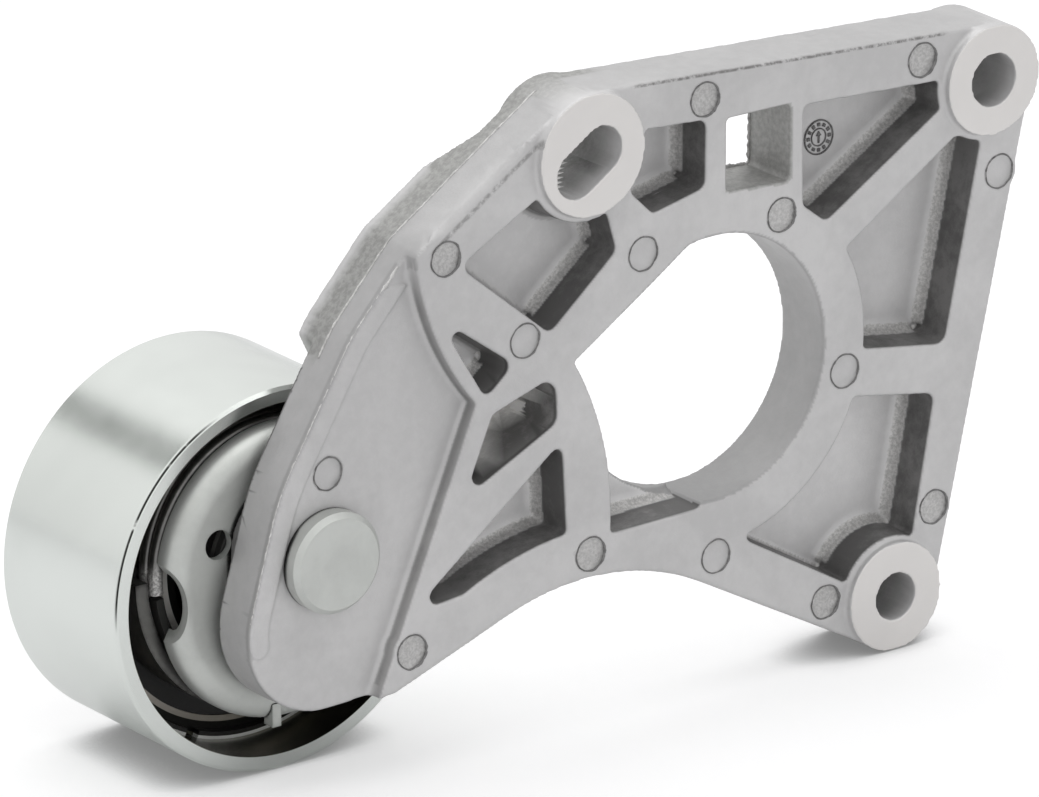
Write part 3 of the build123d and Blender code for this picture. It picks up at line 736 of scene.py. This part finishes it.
def ragged_ridge(bm, line, depth, height, thick, seed, closed=True):
    """Thin broken ridge along a line at one depth, standing outwards from it."""
    rings = []
    for x, z, angle in line:
        way = Vector((math.cos(angle), 0.0, math.sin(angle)))
        slow, quick = (noise.noise(Vector((x * rate, seed, z * rate))) for rate in (0.9, 3.1))
        rough = slow + 0.6 * quick
        reach = height * max(0.4, 0.75 + 0.6 * rough)
        wide = thick * (1.0 + 0.5 * noise.noise(Vector((x * 1.7, seed + 5.0, z * 1.7))))
        foot = Vector((x * MM, depth, z * MM)) - way * 0.0002
        tip = foot + way * (reach + 0.0002)
        lean = Vector((0.0, 0.4 * thick * rough, 0.0))
        corners = (foot + Vector((0, -wide, 0)), tip + Vector((0, -0.3 * wide, 0)) + lean,
                   tip + Vector((0, 0.3 * wide, 0)) + lean, foot + Vector((0, wide, 0)))
        rings.append([bm.verts.new(corner) for corner in corners])
    pairs = list(zip(rings, rings[1:] + rings[:1])) if closed else list(zip(rings, rings[1:]))
    for here, after in pairs:
        bridge(bm, here, after)
    if not closed:
        bm.faces.new(rings[0])
        bm.faces.new(rings[-1][::-1])


def add_fillets(bm, level, radius):
    """Hollow round bars along the foot of every wall on one level, to be merged with the casting."""
    floors = {face for face in bm.faces
              if face.normal.y < -0.99 and abs(face.calc_center_median().y - level) < 0.00003}
    feet = []
    for edge in bm.edges:
        inside = [face for face in edge.link_faces if face in floors]
        walls = [face for face in edge.link_faces if face not in floors]
        if len(inside) == 1 and len(walls) == 1 and walls[0].calc_center_median().y < level - 0.0008:
            feet.append((edge.verts[0].co.copy(), edge.verts[1].co.copy(), inside[0].calc_center_median()))
    for start, end, middle in feet:
        along = (end - start)
        if along.length < 1e-6:
            continue
        inward = along.cross(Vector((0, 1, 0))).normalized()
        if inward.dot(middle - start) < 0:
            inward = -inward
        section = [inward * (across * radius) + Vector((0, -up * radius, 0)) for across, up in FILLET_SECTION]
        reach = along.normalized() * 0.00002
        prism(bm, [start - reach + corner for corner in section],
              [end + reach + corner for corner in section])


def smooth_step(value, low, high):
    """Soft step from 0 to 1 of a number."""
    part = min(1.0, max(0.0, (value - low) / (high - low)))
    return part * part * (3.0 - 2.0 * part)


def press_ejectors(mesh):
    """Sink the ejector pin marks a little into the face, the worn ones with a lumpy bottom."""
    marks = [(x, z, RIB_FACE, index in ROUGH_EJECTORS) for index, (x, z) in enumerate(EJECTOR_PLACES)]
    marks.append((*ARM_EJECTOR, ARM_FACE, False))
    for vertex in mesh.vertices:
        place = vertex.co
        if vertex.normal.y > -0.7 or not RIB_FACE - 0.0004 < place.y < ARM_FACE + 0.0004:
            continue
        for x, z, level, lumpy in marks:
            away = math.hypot(place.x / MM - x, place.z / MM - z)
            if away < 3.3 and abs(place.y - level) < 0.0004:
                inside = smooth_step(away, MARK_EDGE, MARK_FLAT)
                lump = noise.noise(place * 900.0) + 0.6 * noise.noise(place * 2100.0)
                vertex.co.y += inside * (MARK_SINK + (MARK_LUMPS * lump if lumpy else 0.0))
                break


def within(corners, x, z):
    """Whether a point lies in a convex polygon given in either order."""
    turns = [(bx - ax) * (z - az) - (bz - az) * (x - ax)
             for (ax, az), (bx, bz) in zip(corners, corners[1:] + corners[:1])]
    return all(turn >= 0 for turn in turns) or all(turn <= 0 for turn in turns)


def edge_share(place):
    """How much of the full edge rounding a place on the outline gets: all of it on the upper left."""
    x, z = place.x / MM, place.z / MM
    return smooth_step(x, -101.5, -96.0) * smooth_step(x, -77.5, -83.0) * smooth_step(z, 80.0, 83.0)


def round_edge(mesh, rim, edge_line):
    """Roll the sharp outer edge of the upper left into a broad soft round."""
    for vertex in mesh.vertices:
        place = vertex.co
        share = edge_share(place)
        down = place.y / MM - RIB_FACE / MM
        radius = EDGE_ROUND * share
        if radius < 0.2 or down > radius + EDGE_MARGIN:
            continue
        x, z = place.x / MM, place.z / MM
        _, index, away = rim.find((x, 0.0, z))
        if away > radius + EDGE_MARGIN:
            continue
        ex, ez, angle = edge_line[index]
        way = (math.cos(angle), math.sin(angle))
        inside = (ex - x) * way[0] + (ez - z) * way[1]
        if inside > down:
            turn = math.radians(45.0) * (1.0 - min(1.0, max(0.0, inside) / radius))
        else:
            turn = math.radians(45.0) * (1.0 + min(1.0, max(0.0, down) / radius))
        new_inside = radius * (1.0 - math.sin(turn)) if inside < radius and down < radius else inside
        new_down = radius * (1.0 - math.cos(turn)) if inside < radius and down < radius else down
        vertex.co = ((x - (new_inside - inside) * way[0]) * MM, RIB_FACE + new_down * MM,
                     (z - (new_inside - inside) * way[1]) * MM)


def paint_zones(mesh, rim):
    """Mark pocket walls for painted shade, their fillets, rough or pitted skin, and each point's painted light and
    shade: how bright its skin is drawn.
    """
    tree = BVHTree.FromPolygons([v.co for v in mesh.vertices], [tuple(p.vertices) for p in mesh.polygons])
    worn = [EJECTOR_PLACES[index] for index in ROUGH_EJECTORS]
    lit_way = Vector((-0.75, 0.0, 0.66))
    layer = mesh.color_attributes.new("zones", "FLOAT_COLOR", "POINT")
    for index, vertex in enumerate(mesh.vertices):
        place, normal = vertex.co, vertex.normal
        x, z = place.x / MM, place.z / MM
        flat = Vector((normal.x, 0.0, normal.z))
        steep = flat.length
        wall = fillet = rough = 0.0
        shade = 1.0
        away = rim.find((x, 0.0, z))[2]
        in_hole = math.hypot(x - PUMP_HOLE[0], z - PUMP_HOLE[1]) < PUMP_HOLE[2] + 0.6
        in_window = WINDOW_SPAN[0] < x < WINDOW_SPAN[1] and WINDOW_SPAN[2] < z < WINDOW_SPAN[3]
        in_bore = min(math.hypot(x - bx, z - bz) for bx, bz, _ in BOSSES) < BORE_REACH
        in_deep = place.y > POCKET_FLOOR + 0.0005 and within(DEEP_POCKET, x, z)
        hit = (None,)
        if steep > 0.35 and not (in_hole or in_window) and RIB_FACE + 0.0002 < place.y < DEEPEST_WALL:
            flat.normalize()
            hit = tree.ray_cast(place + flat * RAY_START, flat, RAY_REACH)
            if hit[0] is not None:
                # Painted shade and dark reflection on walls that face another wall
                wall = 1.0 - smooth_step(abs(normal.y), 0.25, 0.75)
                if 0.0079 < place.y < POCKET_FLOOR + 0.0002 and normal.y < -0.2:
                    # Only fillets facing the light get the speckle: partly rough skin, partly painted highlight
                    fillet = smooth_step(-normal.y, 0.22, 0.45) * smooth_step(flat.dot(lit_way), -0.1, 0.3)
                # Painted shade darkens the bores, as well as rough skin
                if in_bore:
                    rough, shade = (0.9, 0.52) if x < REAR_LUGS[0] else (0.4, 0.36)
            elif place.y > PARTING and x < REAR_LUGS[0] and z > REAR_LUGS[1]:
                rough = smooth_step(place.y, PARTING, PARTING + 0.0006)
            # Painted shade on the step walls of the arm's face
            elif place.y < ARM_FACE and away > 2.0:
                foot = smooth_step(place.y, RIB_FACE, ARM_FACE)
                upright = 1.0 - smooth_step(abs(normal.y), 0.35, 0.85)
                wall = (0.35 + 0.45 * foot) * upright * smooth_step(z, 83.0, 73.0)
            # Painted shade on outer walls by how they face the light, more on the arm's left wall and at the foot of
            # the arm's flash
            if hit[0] is None and away < 2.0:
                shade = 1.0 - (0.26 if x < -101.0 else 0.15) * smooth_step(steep, 0.5, 0.9)
                if x < ARM_SEAM[0] and abs(place.y - ARM_FACE - 0.0007) < 0.0004:
                    shade *= 0.82
            # Deeper walls get less painted shade
            if place.y > POCKET_FLOOR + 0.0006 and hit[0] is not None and not in_bore:
                wall *= 0.6
        # Painted black shadow along the arm's back edge beside the plate
        if hit[0] is None and place.y > BACK_FACE - 0.0007 and x < -96.0 and z < 64.0 and away < 2.5:
            wall = 0.9
        # Painted light on the pocket floors, less towards the right and more towards the bottom
        if normal.y < -0.9 and place.y > POCKET_FLOOR - 0.0006:
            shade = 1.24 - 0.10 * smooth_step(x, -70.0, -12.0) + 0.14 * smooth_step(z, 45.0, 30.0)
        # Painted shade on the pump hole's walls, deepest on those facing up
        if in_hole and steep > 0.35:
            shade = 0.76 - 0.16 * max(0.0, normal.z)
        # Painted shade, streaked, and rough skin on the square window's walls
        if in_window and steep > 0.35:
            streak = noise.noise(Vector((x * 1.3, place.y * 90.0, z * 0.3)))
            rough, wall, shade = 0.85, 0.22 + 0.3 * streak, 0.95
        # Painted light brightens the deep pocket, with its painted wall shade in stripes for the ribs
        if in_deep:
            ribs = 0.5 + 0.5 * math.sin((x * 0.8 - z * 0.6) * 4.2)
            rough, wall, shade = 0.5, 0.35 * ribs, 2.3
        # Painted light brightens the small pocket and the rest of the deep pocket's faces
        elif place.y > RIB_FACE + 0.001 and (within(SMALL_POCKET, x, z) or within(DEEP_POCKET, x, z)):
            shade *= 1.7
        if normal.y < -0.6 and place.y < RIB_FACE + 0.0006:
            mark = min(math.hypot(x - ex, z - ez) for ex, ez in worn)
            fillet = max(fillet, 0.7 * smooth_step(mark, 3.2, 2.6))
        layer.data[index].color = (max(0.0, wall * (1.0 - fillet)), fillet, rough, shade)


def slot_tears(bm):
    """Torn crests across the slot's left wall, each a thin bar running into the depth."""
    x, z, radius = SLOT_END
    for index in range(6):
        up = -1.5 + 0.82 * index
        left = x - math.sqrt(radius * radius - up * up)
        lump = noise.noise(Vector((index * 1.7, 3.0, 1.0)))
        reach = (1.55 + 0.6 * lump) * MM
        thick = 0.17 * MM
        front, back = 0.0004, (1.9 + 0.8 * lump) * MM
        foot = Vector(((left - 0.1) * MM, 0.0, (z + up) * MM))
        near, far = ([foot + Vector((across, depth, rise))
                      for across, rise in ((0, -thick), (tip, 0), (0, thick))]
                     for depth, tip in ((front, reach), (back, 0.5 * reach)))
        prism(bm, near, far)


def date_dial(bm):
    """Raised date mark: a ring, a round of small squares, an inner ring and an arrow."""
    at = Vector((DATE_DIAL[0] * MM, POCKET_FLOOR, DATE_DIAL[1] * MM))

    def raised(points, height):
        low = [bm.verts.new(at + Vector((x * MM, 0.0002, z * MM))) for x, z in points]
        high = [bm.verts.new(at + Vector((x * MM, -height * MM, z * MM))) for x, z in points]
        bm.faces.new(high)
        bridge(bm, low, high)

    def ring(inner, outer, height):
        count = 40
        for step in range(count):
            a, b = (2 * math.pi * (step + k) / count for k in (0, 1))
            raised([(radius * math.cos(turn), radius * math.sin(turn))
                    for radius, turn in ((outer, a), (outer, b), (inner, b), (inner, a))], height)

    ring(2.95, 3.2, 0.22)
    ring(1.45, 1.65, 0.20)
    for step in range(12):
        angle = 2 * math.pi * step / 12
        across, up = 2.3 * math.cos(angle), 2.3 * math.sin(angle)
        corners = []
        for turn in (45, 135, 225, 315):
            way = angle + math.radians(turn)
            corners.append((across + 0.42 * math.cos(way), up + 0.42 * math.sin(way)))
        raised(corners, 0.24)
    raised([(-0.16, -1.0), (0.16, -1.0), (0.16, 0.35), (-0.16, 0.35)], 0.24)
    raised([(-0.55, 0.3), (0.55, 0.3), (0.0, 1.15)], 0.24)


def burr_ring(bm, at, radius, depth, seed, heavy=1.0):
    """Ragged lip round an ejector pin mark, heavier on its right, where the dark lip also stands in for the shade on
    the mark's right side.
    """
    count = 56
    rows = []
    for index in range(count):
        angle = 2 * math.pi * index / count
        way = Vector((math.cos(angle), 0.0, math.sin(angle)))
        rough = noise.noise(Vector((way.x * 2.3, way.z * 2.3, seed * 7.1)))
        crest = noise.noise(Vector((way.x * 6.0, way.z * 6.0, seed * 3.7)))
        # Wider on the right: there the dark lip stands in for painted shade
        right = max(0.0, math.cos(angle + 0.45)) ** 1.5
        width = (0.13 + 0.07 * rough + heavy * 0.22 * right * max(0.2, 0.8 + crest)) * MM
        height = max(0.04, 0.10 + 0.22 * crest) * MM
        base = Vector((at[0] * MM, depth, at[1] * MM)) + way * ((radius + 0.14 * rough - 0.1 * right) * MM)
        ring = []
        for step in range(6):
            turn = 2 * math.pi * step / 6
            corner = base + way * (width * math.cos(turn)) + Vector((0, height * math.sin(turn), 0))
            ring.append(bm.verts.new(corner))
        rows.append(ring)
    for here, after in zip(rows, rows[1:] + rows[:1]):
        bridge(bm, here, after)


def finished(bm, name):
    """Mesh from a bmesh, facing outwards and smooth."""
    bmesh.ops.recalc_face_normals(bm, faces=bm.faces)
    for face in bm.faces:
        face.smooth = True
    mesh = bpy.data.meshes.new(name)
    bm.to_mesh(mesh)
    bm.free()
    return mesh


# Operators

class TENSIONER_OT_casting(bpy.types.Operator):
    """Cast bracket with softened edges, waves and a rough rear"""

    bl_idname = "tensioner.casting"
    bl_label = "Cast bracket"

    def execute(self, context):
        values = casting()
        source = bmesh.new()
        source.from_mesh(frame["nodes"]["bracket"].data)
        bmesh.ops.remove_doubles(source, verts=source.verts, dist=0.000001)
        add_fillets(source, POCKET_FLOOR, values.fillet)
        add_fillets(source, ARM_FACE, 0.5 * values.fillet)
        bmesh.ops.recalc_face_normals(source, faces=source.faces)
        rough_cut = bpy.data.meshes.new("rough_cut")
        source.to_mesh(rough_cut)
        source.free()
        skin = applied(
            rough_cut,
            ("REMESH", {"mode": "VOXEL", "voxel_size": values.skin_step}),
            ("SMOOTH", {"factor": 0.5, "iterations": values.softening}),
        )
        keep = min(1.0, values.faces / (2.0 * len(skin.polygons)))
        skin = applied(skin, ("DECIMATE", {"ratio": keep, "use_collapse_triangulate": True}))
        roughen(skin, values.waviness, values.roughening)
        press_ejectors(skin)
        edge_line = taut_line(OUTLINE, 0.3)
        rim = KDTree(len(edge_line))
        for index, (x, z, angle) in enumerate(edge_line):
            rim.insert((x, 0.0, z), index)
        rim.balance()
        round_edge(skin, rim, edge_line)
        skin.shade_smooth()
        paint_zones(skin, rim)
        material = cast_aluminium()
        piece = link("cast_bracket", skin, "frame", material)
        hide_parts("bracket")
        burrs = bmesh.new()
        for index, place in enumerate(EJECTOR_PLACES):
            burr_ring(burrs, place, 3.05, RIB_FACE, index, 1.0 if index in ROUGH_EJECTORS else 0.45)
        burr_ring(burrs, ARM_EJECTOR, 2.9, ARM_FACE, 31, 0.2)
        # Dark burr metal for the ejector lips and the date dial; on the lips it also stands in for painted shade on
        # the marks' right sides
        grey = trim_metal("Burr metal", (0.20, 0.198, 0.195))
        trim("ejector_burrs", burrs, grey)
        flash = bmesh.new()
        seam = [point for point in taut_line(OUTLINE, 0.5)
                if point[0] < REAR_LUGS[0] and REAR_LUGS[1] < point[1] < SEAM_TOP]
        ragged_ridge(flash, seam, PARTING, 1.6 * values.flash, 0.00022, 1.0, closed=False)
        arm = [point for point in taut_line(OUTLINE, 0.4, 0.16) if point[0] < ARM_SEAM[0] and point[1] > ARM_SEAM[1]]
        ragged_ridge(flash, arm, ARM_FACE - 0.0001, 1.5 * values.flash, 0.00028, 3.0, closed=False)
        slot_tears(flash)
        window = [(x, z, a + math.pi) for x, z, a in taut_line(SQUARE_WINDOW, 0.4)]
        ragged_ridge(flash, window, BACK_FACE - 0.0004, 0.0006, 0.00016, 7.0)
        pale = trim_metal("Flash metal", (0.64, 0.635, 0.62))
        trim("casting_flash", flash, pale)
        dial = bmesh.new()
        date_dial(dial)
        trim("date_dial", dial, grey)
        return {"FINISHED"}


class TENSIONER_OT_pulley(bpy.types.Operator):
    """Turned pulley with its bearing, seals and retaining ring"""

    bl_idname = "tensioner.pulley"
    bl_label = "Pulley and bearing"

    def execute(self, context):
        steel = dark_metal("Bearing steel", (0.36, 0.35, 0.33), 0.30, axis=PULLEY_AXIS)
        dress("pulley", pulley_steel())
        dress("bearing_outer_ring", bearing_face())
        for name in ("bearing_inner_ring", "bearing_balls", "eccentric_hub"):
            dress(name, steel)
        dress("ball_cage", matt_black("Cage nylon", (0.30, 0.25, 0.16), 0.5))
        rubber = matt_black("Seal rubber")
        dress("front_seal", rubber)
        dress("rear_seal", rubber)
        dress("pulley_retaining_ring", rim_steel("Ring plating", (0.90, 0.91, 0.88), PULLEY_AXIS, 31.1))
        dress("arm_retaining_ring", dark_metal("Ring steel", (0.12, 0.12, 0.115), 0.35))
        return {"FINISHED"}


class TENSIONER_OT_tensioner(bpy.types.Operator):
    """Spring plate, spring, arm, pin and washers"""

    bl_idname = "tensioner.tensioner"
    bl_label = "Tensioner"

    def execute(self, context):
        values = finishes()
        dress("spring_plate", zinc_plate(metallic=0.6, roughness=0.5,
                                         shaded_behind=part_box("spring_plate")[0].y + 0.0049))
        pin = zinc_plate("Pin plating", 0.95, 0.55, 0.42)
        dress("pivot_pin", pin)
        dress("end_washer", pin)
        dress("torsion_spring", spring_steel())
        dress("tensioner_arm", dark_metal("Arm iron", tuple(values.iron), 0.45, axis=HUB_AXIS))
        dress("spring_guide", rim_steel("Drum steel", (0.86, 0.85, 0.80), HUB_AXIS, 20.6))
        nylon = matt_black("Bush nylon", (0.022, 0.022, 0.021), 0.45)
        for name in ("pivot_bush", "front_friction_washer", "rear_friction_washer"):
            dress(name, nylon)
        return {"FINISHED"}


def soft_lamp(name, place, target, size, power, shape="RECTANGLE"):
    """Area lamp aimed at a point."""
    data = bpy.data.lights.new(name, "AREA")
    data.shape = shape
    data.size, data.size_y = size
    data.energy = power
    lamp = bpy.data.objects.new(name, data)
    lamp.location = place
    lamp.rotation_mode = "QUATERNION"
    lamp.rotation_quaternion = (Vector(target) - Vector(place)).to_track_quat("-Z", "Y")
    bpy.context.scene.collection.objects.link(lamp)
    return lamp


def sky():
    """World that lights evenly and that metal sees as a pale room with one dim gap between its lamps."""
    world = bpy.data.worlds.new("Pale room")
    bpy.context.scene.world = world
    world.use_nodes = True
    w = Wiring(world.node_tree)
    w.nodes.clear()
    way = w.nodes.new("ShaderNodeTexCoord").outputs["Generated"]
    parts = w.add("ShaderNodeSeparateXYZ", i0=way)
    paths = w.nodes.new("ShaderNodeLightPath")
    gap_way = Vector(GAP_WAY).normalized()
    facing = w.vector("DOT_PRODUCT", way, tuple(gap_way)).outputs["Value"]
    gap = w.ramp(facing, math.cos(math.radians(10.0)), math.cos(math.radians(3.0)))
    level = w.ramp(parts.outputs[2], -0.2, 0.75, 0.84, 1.0)
    seen = w.mix(gap, w.grey(level), (0.16, 0.17, 0.16))
    colour = w.mix(paths.outputs["Is Glossy Ray"], (0.67, 0.67, 0.68), seen)
    colour = w.mix(paths.outputs["Is Camera Ray"], colour, (1.0, 1.0, 1.0))
    background = w.add("ShaderNodeBackground", Color=colour, Strength=1.0)
    output = w.nodes.new("ShaderNodeOutputWorld")
    w.links.new(background.outputs[0], output.inputs[0])


def floor_finish():
    """Pale floor that shows white where nothing shades it, with a painted contact shadow close to the pieces on it.
    """
    material = bpy.data.materials.new("Pale floor")
    material.use_nodes = True
    w = Wiring(material.node_tree)
    w.nodes.clear()
    # Painted contact shadow: the floor's colour and its glow darken where the pieces standing on it hem it in
    tone = w.grey(w.ramp(w.openness(0.010), 0.20, 0.85, 0.36, 1.0))
    plain = w.mix(1.0, tone, scaled(stage_values().floor, 0.64), "MULTIPLY")
    seen = w.add("ShaderNodeBsdfDiffuse", Color=plain)
    bounce = w.add("ShaderNodeBsdfDiffuse", Color=tuple(stage_values().floor))
    paths = w.nodes.new("ShaderNodeLightPath")
    glow = w.add("ShaderNodeEmission", Color=tone, Strength=0.51)
    lift = w.add("ShaderNodeAddShader", i0=seen.outputs[0], i1=glow.outputs[0])
    mixed = w.add("ShaderNodeMixShader", i0=paths.outputs["Is Camera Ray"], i1=bounce.outputs[0],
                  i2=lift.outputs[0])
    output = w.nodes.new("ShaderNodeOutputMaterial")
    w.links.new(mixed.outputs[0], output.inputs[0])
    return material


class TENSIONER_OT_stage(bpy.types.Operator):
    """Pale floor, soft lamps and the camera"""

    bl_idname = "tensioner.stage"
    bl_label = "Stage"

    def execute(self, context):
        values = stage_values()
        scene = context.scene
        sky()
        level = CAD_BOX[0].z
        bm = bmesh.new()
        bmesh.ops.create_circle(bm, cap_ends=True, radius=6.0, segments=96,
                                matrix=Matrix.Translation((0.0, 0.0, level)))
        mesh = bpy.data.meshes.new("floor")
        bm.to_mesh(mesh)
        bm.free()
        mesh.materials.append(floor_finish())
        floor = bpy.data.objects.new("floor", mesh)
        scene.collection.objects.link(floor)
        middle = (CAD_BOX[0] + CAD_BOX[1]) / 2
        soft_lamp("overhead", (middle.x, middle.y + 0.12, 0.95), middle, (1.2, 1.2), values.lamp_power)
        camera = bpy.data.objects.new("camera", bpy.data.cameras.new("camera"))
        camera.data.sensor_width = 36.0
        camera.data.lens = values.lens
        camera.data.clip_start, camera.data.clip_end = 0.05, 50.0
        flat = math.cos(values.elevation)
        back = Vector((math.sin(values.azimuth) * flat, -math.cos(values.azimuth) * flat,
                       math.sin(values.elevation)))
        camera.location = CAMERA_PLACE
        camera.rotation_mode = "QUATERNION"
        camera.rotation_quaternion = (-back).to_track_quat("-Z", "Y")
        scene.collection.objects.link(camera)
        scene.camera = camera
        scene.view_settings.view_transform = "Standard"
        return {"FINISHED"}


class TENSIONER_PT_panel(bpy.types.Panel):
    """Sizes, colours and buttons of the tensioner's pieces"""

    bl_idname = "TENSIONER_PT_panel"
    bl_label = "Belt tensioner"
    bl_space_type = "VIEW_3D"
    bl_region_type = "UI"
    bl_category = "Tensioner"

    def draw(self, context):
        for group in SETTINGS:
            box = self.layout.box()
            owner = getattr(context.scene, group)
            for key in owner.__annotations__:
                box.prop(owner, key)
        for operator in OPERATORS:
            self.layout.operator(operator.bl_idname)


OPERATORS = (TENSIONER_OT_stage, TENSIONER_OT_casting, TENSIONER_OT_pulley, TENSIONER_OT_tensioner)
SETTINGS = {
    "tensioner_casting": CastingSettings,
    "tensioner_finishes": TensionerSettings,
    "tensioner_stage": StageSettings,
}


def register():
    """Register the settings, operators and panel."""
    for name, group in SETTINGS.items():
        bpy.utils.register_class(group)
        setattr(bpy.types.Scene, name, PointerProperty(type=group))
    for operator in OPERATORS:
        bpy.utils.register_class(operator)
    bpy.utils.register_class(TENSIONER_PT_panel)


def unregister():
    """Take them out again."""
    bpy.utils.unregister_class(TENSIONER_PT_panel)
    for operator in reversed(OPERATORS):
        bpy.utils.unregister_class(operator)
    for name, group in SETTINGS.items():
        delattr(bpy.types.Scene, name)
        bpy.utils.unregister_class(group)


def main():
    """Make every piece."""
    register()
    for old in [o for o in bpy.data.objects if o.name in ("Cube", "Light", "Camera")]:
        bpy.data.objects.remove(old)
    for operator in OPERATORS:
        space, name = operator.bl_idname.split(".")
        getattr(getattr(bpy.ops, space), name)()


if __name__ == "__main__":
    main()
